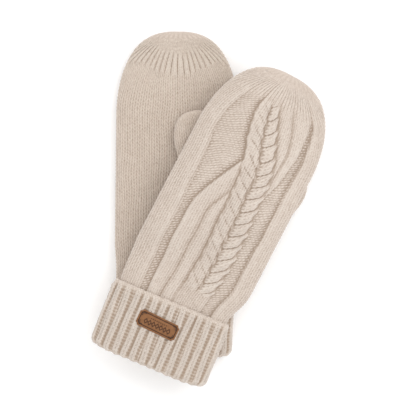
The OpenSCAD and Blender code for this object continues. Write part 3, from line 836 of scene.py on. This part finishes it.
def patch_mesh(name, side):
    """Leather with notched corners, a pressed border line and a plain pattern of diamonds and dots."""
    step = 0.3
    gx = np.arange(-PATCH_W / 2, PATCH_W / 2 + step / 2, step)
    gy = np.arange(-PATCH_H / 2, PATCH_H / 2 + step / 2, step)
    gx, gy = gx - gx.mean(), gy - gy.mean()
    x, y = np.meshgrid(gx, gy)
    cols = len(gx)
    keep = patch_outline((x[:-1, :-1] + x[1:, 1:]) / 2, (y[:-1, :-1] + y[1:, 1:]) / 2) < -0.1
    r, c = np.nonzero(keep)
    quads = np.stack([r * cols + c, r * cols + c + 1, (r + 1) * cols + c + 1, (r + 1) * cols + c], -1)
    used = np.unique(quads)
    number = -np.ones(x.size, int)
    number[used] = np.arange(len(used))
    quads = number[quads]
    px, py = x.reshape(-1)[used].copy(), y.reshape(-1)[used].copy()
    steps = dict.fromkeys((a, b) for q in quads.tolist() for a, b in zip(q, q[1:] + q[:1]))
    rim = [(a, b) for a, b in steps if (b, a) not in steps]
    edge = np.unique(np.array(rim))
    for _ in range(4):  # border points move onto the outline
        d = patch_outline(px[edge], py[edge])
        dx = (patch_outline(px[edge] + 0.01, py[edge]) - patch_outline(px[edge] - 0.01, py[edge])) / 0.02
        dy = (patch_outline(px[edge], py[edge] + 0.01) - patch_outline(px[edge], py[edge] - 0.01)) / 0.02
        g = np.maximum(dx * dx + dy * dy, 0.2)
        px[edge] -= d * dx / g
        py[edge] -= d * dy / g
    inside = -patch_outline(px, py)
    border = np.clip(1.5 - np.abs(inside - 1.6) / 0.4, 0, 1)
    wide, narrow = 3.3, 1.65  # pitches of the diamonds and of the dots over them
    cell = (px / wide + 100.5) % 1 - 0.5
    diamond = np.abs(np.abs(cell * wide) / 1.35 + np.abs(py + 1.1) / 1.9 - 1) * 1.1
    diamonds = np.exp(-((diamond / 0.44) ** 2)) * (np.abs(px) < 11.4)
    cell = (px / narrow + 100.5) % 1 - 0.5
    dots = np.exp(-((np.hypot(cell * narrow, py - 2.5) / 0.55) ** 2)) * (np.abs(px) < 7.6)
    mark = np.clip(np.maximum.reduce([border, diamonds, dots]), 0, 1)
    # Painted shade: the patch is darkened over the last 0.7 mm of its rim
    rim_shade = np.clip(1 - inside / 0.7, 0, 1)
    rng = np.random.default_rng(11)
    worn = 0.32 * np.clip(1 - inside / 0.55, 0, 1) ** 2
    top = PATCH_T - worn - 0.2 * mark + 0.015 * rng.standard_normal(len(px))
    up = np.stack([px, py, top], -1)
    down = np.stack([px, py, np.zeros(len(px))], -1)
    n = len(px)
    faces = quads.tolist() + [[k + n for k in q] for q in quads.tolist()]
    faces += [(a, b, b + n, a + n) for a, b in rim]
    shade = np.clip(1 - mark - 0.15 * rim_shade, 0, 1)
    points = on_cuff(np.concatenate([up, down]), side)
    return build(name, points, faces, np.concatenate([shade, np.full(n, 0.4)]))


def patch_stitches_mesh(name, side):
    """Two thread tacks at a right angle inside each corner of the patch."""
    parts = []
    inset = PATCH_NOTCH + 0.75
    for sx in (-1, 1):
        for sy in (-1, 1):
            cx, cy = sx * (PATCH_W / 2 - inset), sy * (PATCH_H / 2 - inset + 0.3)
            for dx, dy in ((-sx * 3.0, 0), (0, -sy * 2.6)):
                k = np.linspace(0, 1, 12)
                arch = PATCH_T + 0.12 + 0.34 * np.sin(np.pi * k) ** 0.5
                line = np.stack([cx + dx * k, cy + dy * k, arch], -1)
                w = on_cuff(line, side)
                radius = np.full(12, 0.36) * (0.6 + 0.4 * np.sin(np.pi * k))
                parts.append(yarn(w, radius, np.array([0.3, 0.2, 1]), twist=0.5))
    return joined(name, parts)


# ---------------------------------------------------------------------------
# Materials


def material(name, settings):
    """A material, with its tree and its shader, whose sockets are given constants."""
    mat = bpy.data.materials.new(name)
    mat.use_nodes = True
    shader = mat.node_tree.nodes["Principled BSDF"]
    for key, value in settings.items():
        shader.inputs[key].default_value = value
    return mat, mat.node_tree, shader


def surface(tree):
    """Object coordinates, and the shade that each mesh keeps."""
    shade = tree.nodes.new("ShaderNodeAttribute")
    shade.attribute_name = "shade"
    return node(tree, "ShaderNodeTexCoord").outputs["Object"], shade.outputs["Fac"]


def node(tree, kind, **inputs):
    made = tree.nodes.new(kind)
    for key, value in inputs.items():
        if key in made.inputs:
            made.inputs[key].default_value = value
    return made


def mixed(tree, factor, a, b, blend="MIX"):
    """A Mix node of two colours. factor, a and b are sockets or values."""
    m = tree.nodes.new("ShaderNodeMix")
    m.data_type, m.blend_type, m.clamp_result = "RGBA", blend, True
    for value, k in ((factor, 0), (a, 6), (b, 7)):
        if isinstance(value, bpy.types.NodeSocket):
            tree.links.new(value, m.inputs[k])
        elif k == 0:
            m.inputs[0].default_value = value
        else:
            m.inputs[k].default_value = (*value, 1)
    return m.outputs[2]


def ramp(tree, source, low, high):
    r = tree.nodes.new("ShaderNodeMapRange")
    r.inputs["From Min"].default_value, r.inputs["From Max"].default_value = low, high
    tree.links.new(source, r.inputs["Value"])
    return r.outputs["Result"]


def noise(tree, coord, scale, detail=3.0, rough=0.6):
    n = node(tree, "ShaderNodeTexNoise", Scale=scale, Detail=detail, Roughness=rough)
    tree.links.new(coord, n.inputs["Vector"])
    return n.outputs["Fac"]


def wool(name, light, dark, sheen=0.25, fuzz=0.5):
    """Matte wool: darker in its crevices with painted shade, mottled, flecked with single fibres."""
    settings = {"Roughness": 0.95, "Sheen Weight": sheen, "Sheen Roughness": 0.6, "Specular IOR Level": 0.15}
    mat, t, shader = material(name, settings)
    coord, shade = surface(t)
    colour = mixed(t, ramp(t, shade, 0.12, 0.78), dark, light)
    mottle = ramp(t, noise(t, coord, 55), 0.32, 0.68)
    colour = mixed(t, 0.10, colour, mixed(t, mottle, (0.55, 0.47, 0.40), (1.0, 0.97, 0.93)), "MULTIPLY")
    fleck = ramp(t, noise(t, coord, 1500, 2.0), 0.35, 0.65)
    colour = mixed(t, 0.22, colour, mixed(t, fleck, (0.45, 0.38, 0.32), (1.0, 0.98, 0.95)), "OVERLAY")
    t.links.new(colour, shader.inputs["Base Color"])
    bump = node(t, "ShaderNodeBump", Strength=fuzz, Distance=0.0003)
    t.links.new(noise(t, coord, 1900, 4.0, 0.7), bump.inputs["Height"])
    t.links.new(bump.outputs["Normal"], shader.inputs["Normal"])
    return mat


def leather(name):
    """Tan leather with a fine grain, dark where it is pressed, and darker at its rim with painted shade."""
    mat, t, shader = material(name, {"Roughness": 0.6, "Specular IOR Level": 0.25})
    coord, shade = surface(t)
    tan = mixed(t, ramp(t, noise(t, coord, 300, 4.0), 0.3, 0.7), (0.18, 0.076, 0.029), (0.272, 0.124, 0.05))
    colour = mixed(t, ramp(t, shade, 0.1, 0.9), (0.045, 0.016, 0.007), tan)
    t.links.new(colour, shader.inputs["Base Color"])
    grain = t.nodes.new("ShaderNodeTexVoronoi")
    grain.inputs["Scale"].default_value = 1400
    t.links.new(coord, grain.inputs["Vector"])
    bump = node(t, "ShaderNodeBump", Strength=0.35, Distance=0.0002)
    t.links.new(grain.outputs["Distance"], bump.inputs["Height"])
    t.links.new(bump.outputs["Normal"], shader.inputs["Normal"])
    return mat


cable_wool = wool("cable_wool", (0.575, 0.505, 0.453), (0.309, 0.243, 0.192))
plain_wool = wool("plain_wool", (0.575, 0.5, 0.439), (0.318, 0.248, 0.196))
rib_wool = wool("rib_wool", (0.626, 0.552, 0.496), (0.313, 0.243, 0.187))
seam_wool = wool("seam_wool", (0.57, 0.5, 0.444), (0.393, 0.323, 0.266))
fleece = wool("fleece", (0.70, 0.64, 0.57), (0.48, 0.42, 0.36), sheen=0.5, fuzz=1.0)
tan_leather = leather("tan_leather")
thread = wool("thread", (0.10, 0.05, 0.03), (0.03, 0.015, 0.01), sheen=0.1)


# ---------------------------------------------------------------------------
# The pieces


def add(ob, node_name, look, body):
    """Gives a piece its material and its place: body is None where the piece stays in the pair's frame."""
    ob.data.materials.clear()
    ob.data.materials.append(look)
    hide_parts(node_name)
    if body is not None:
        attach(ob, body)
    return ob


for side, word in enumerate(SIDES):
    hand, thumb_body, cuff_body = f"{word}_hand", f"{word}_thumb", f"{word}_cuff"
    add(hand_sheet(f"{word}_back_knit", side, False), f"{word}_back_panel", cable_wool, hand)
    palm = cut_hole(hand_sheet(f"{word}_palm_knit", side, True), side, *PALM_SLOT)
    add(palm, f"{word}_palm_panel", plain_wool, hand)
    add(side_seams_mesh(f"{word}_side_seam_yarn", side), f"{word}_side_seams", seam_wool, hand)
    add(crown_mesh(f"{word}_crown_stitches", side), f"{word}_crown_gather", cable_wool, hand)
    bag = cut_hole(lining_mesh(f"{word}_fleece_lining", side), side, *LINING_SLOT)
    add(bag, f"{word}_lining", fleece, hand)
    add(inner_cuff_mesh(f"{word}_inner_rib", side), f"{word}_inner_cuff", rib_wool, hand)
    add(cuff_mesh(f"{word}_turned_rib", side), f"{word}_cuff", rib_wool, cuff_body)
    add(patch_mesh(f"{word}_leather_patch", side), f"{word}_cuff_patch", tan_leather, cuff_body)
    tacks = patch_stitches_mesh(f"{word}_patch_thread", side)
    add(tacks, f"{word}_patch_stitches", thread, cuff_body)

    # Two points along the thumb's root at one height; the thumb's pieces stay in the pair's frame
    lean = math.radians(THUMB_LEAN[side])
    root = [
        place(np.array([THUMB_X + k * math.sin(lean), THUMB_Y + k * math.cos(lean), 16.0]), side) * 0.001
        for k in (6, 26)
    ]
    root[1][2] = root[0][2]
    for ob, name, slot, look in (
        (thumb_mesh(f"{word}_thumb_knit", side), f"{word}_thumb", "plain_knit", plain_wool),
        (thumb_seam_mesh(f"{word}_thumb_seam_yarn", side), f"{word}_thumb_seam", "seam_yarn", seam_wool),
        (thumb_lining_mesh(f"{word}_thumb_fleece", side), f"{word}_thumb_lining", "fleece", fleece),
    ):
        add(ob, name, look, None)
        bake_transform(ob)

# ---------------------------------------------------------------------------
# Floor, light and camera

me = bpy.data.meshes.new("floor")
me.from_pydata([(-6, -6, 0), (6, -6, 0), (6, 6, 0), (-6, 6, 0)], [], [(0, 1, 2, 3)])
floor = bpy.data.objects.new("floor", me)
bpy.context.scene.collection.objects.link(floor)
# A faint glow, because the photo's background is exposed to white
floor_look = {"Base Color": (0.96, 0.96, 0.96, 1), "Roughness": 1.0, "Specular IOR Level": 0.0}
floor_look.update({"Emission Color": (1, 1, 1, 1), "Emission Strength": 0.08})
me.materials.append(material("floor_white", floor_look)[0])

world = bpy.data.worlds.new("studio")
bpy.context.scene.world = world
world.use_nodes = True
world.node_tree.nodes["Background"].inputs["Color"].default_value = (1, 1, 1, 1)
world.node_tree.nodes["Background"].inputs["Strength"].default_value = 1.13


def soft_box(name, at, size, power):
    data = bpy.data.lights.new(name, "AREA")
    data.shape, data.size, data.energy = "DISK", size, power
    ob = bpy.data.objects.new(name, data)
    ob.location = at
    ob.rotation_euler = (Vector((0, 0, 0)) - Vector(at)).to_track_quat("-Z", "Y").to_euler()
    bpy.context.scene.collection.objects.link(ob)


soft_box("key", (0.8, 0.65, 1.8), 1.4, 9.7)

centre = (Vector(cad_box[0]) + Vector(cad_box[1])) / 2
camera = bpy.data.objects.new("camera", bpy.data.cameras.new("camera"))
# Seen from straight above. The photo spans 416 pixels of 0.8 mm
SENSOR, CAMERA_UP, PHOTO_SPAN = 36, 4.0, 0.3328
camera.data.sensor_width = SENSOR
camera.data.lens = SENSOR * CAMERA_UP / PHOTO_SPAN
camera.data.clip_end = 50
camera.location = (centre.x, centre.y + 0.0012, CAMERA_UP + 0.02)
bpy.context.scene.collection.objects.link(camera)
bpy.context.scene.camera = camera
bpy.context.scene.view_settings.view_transform = "Standard"
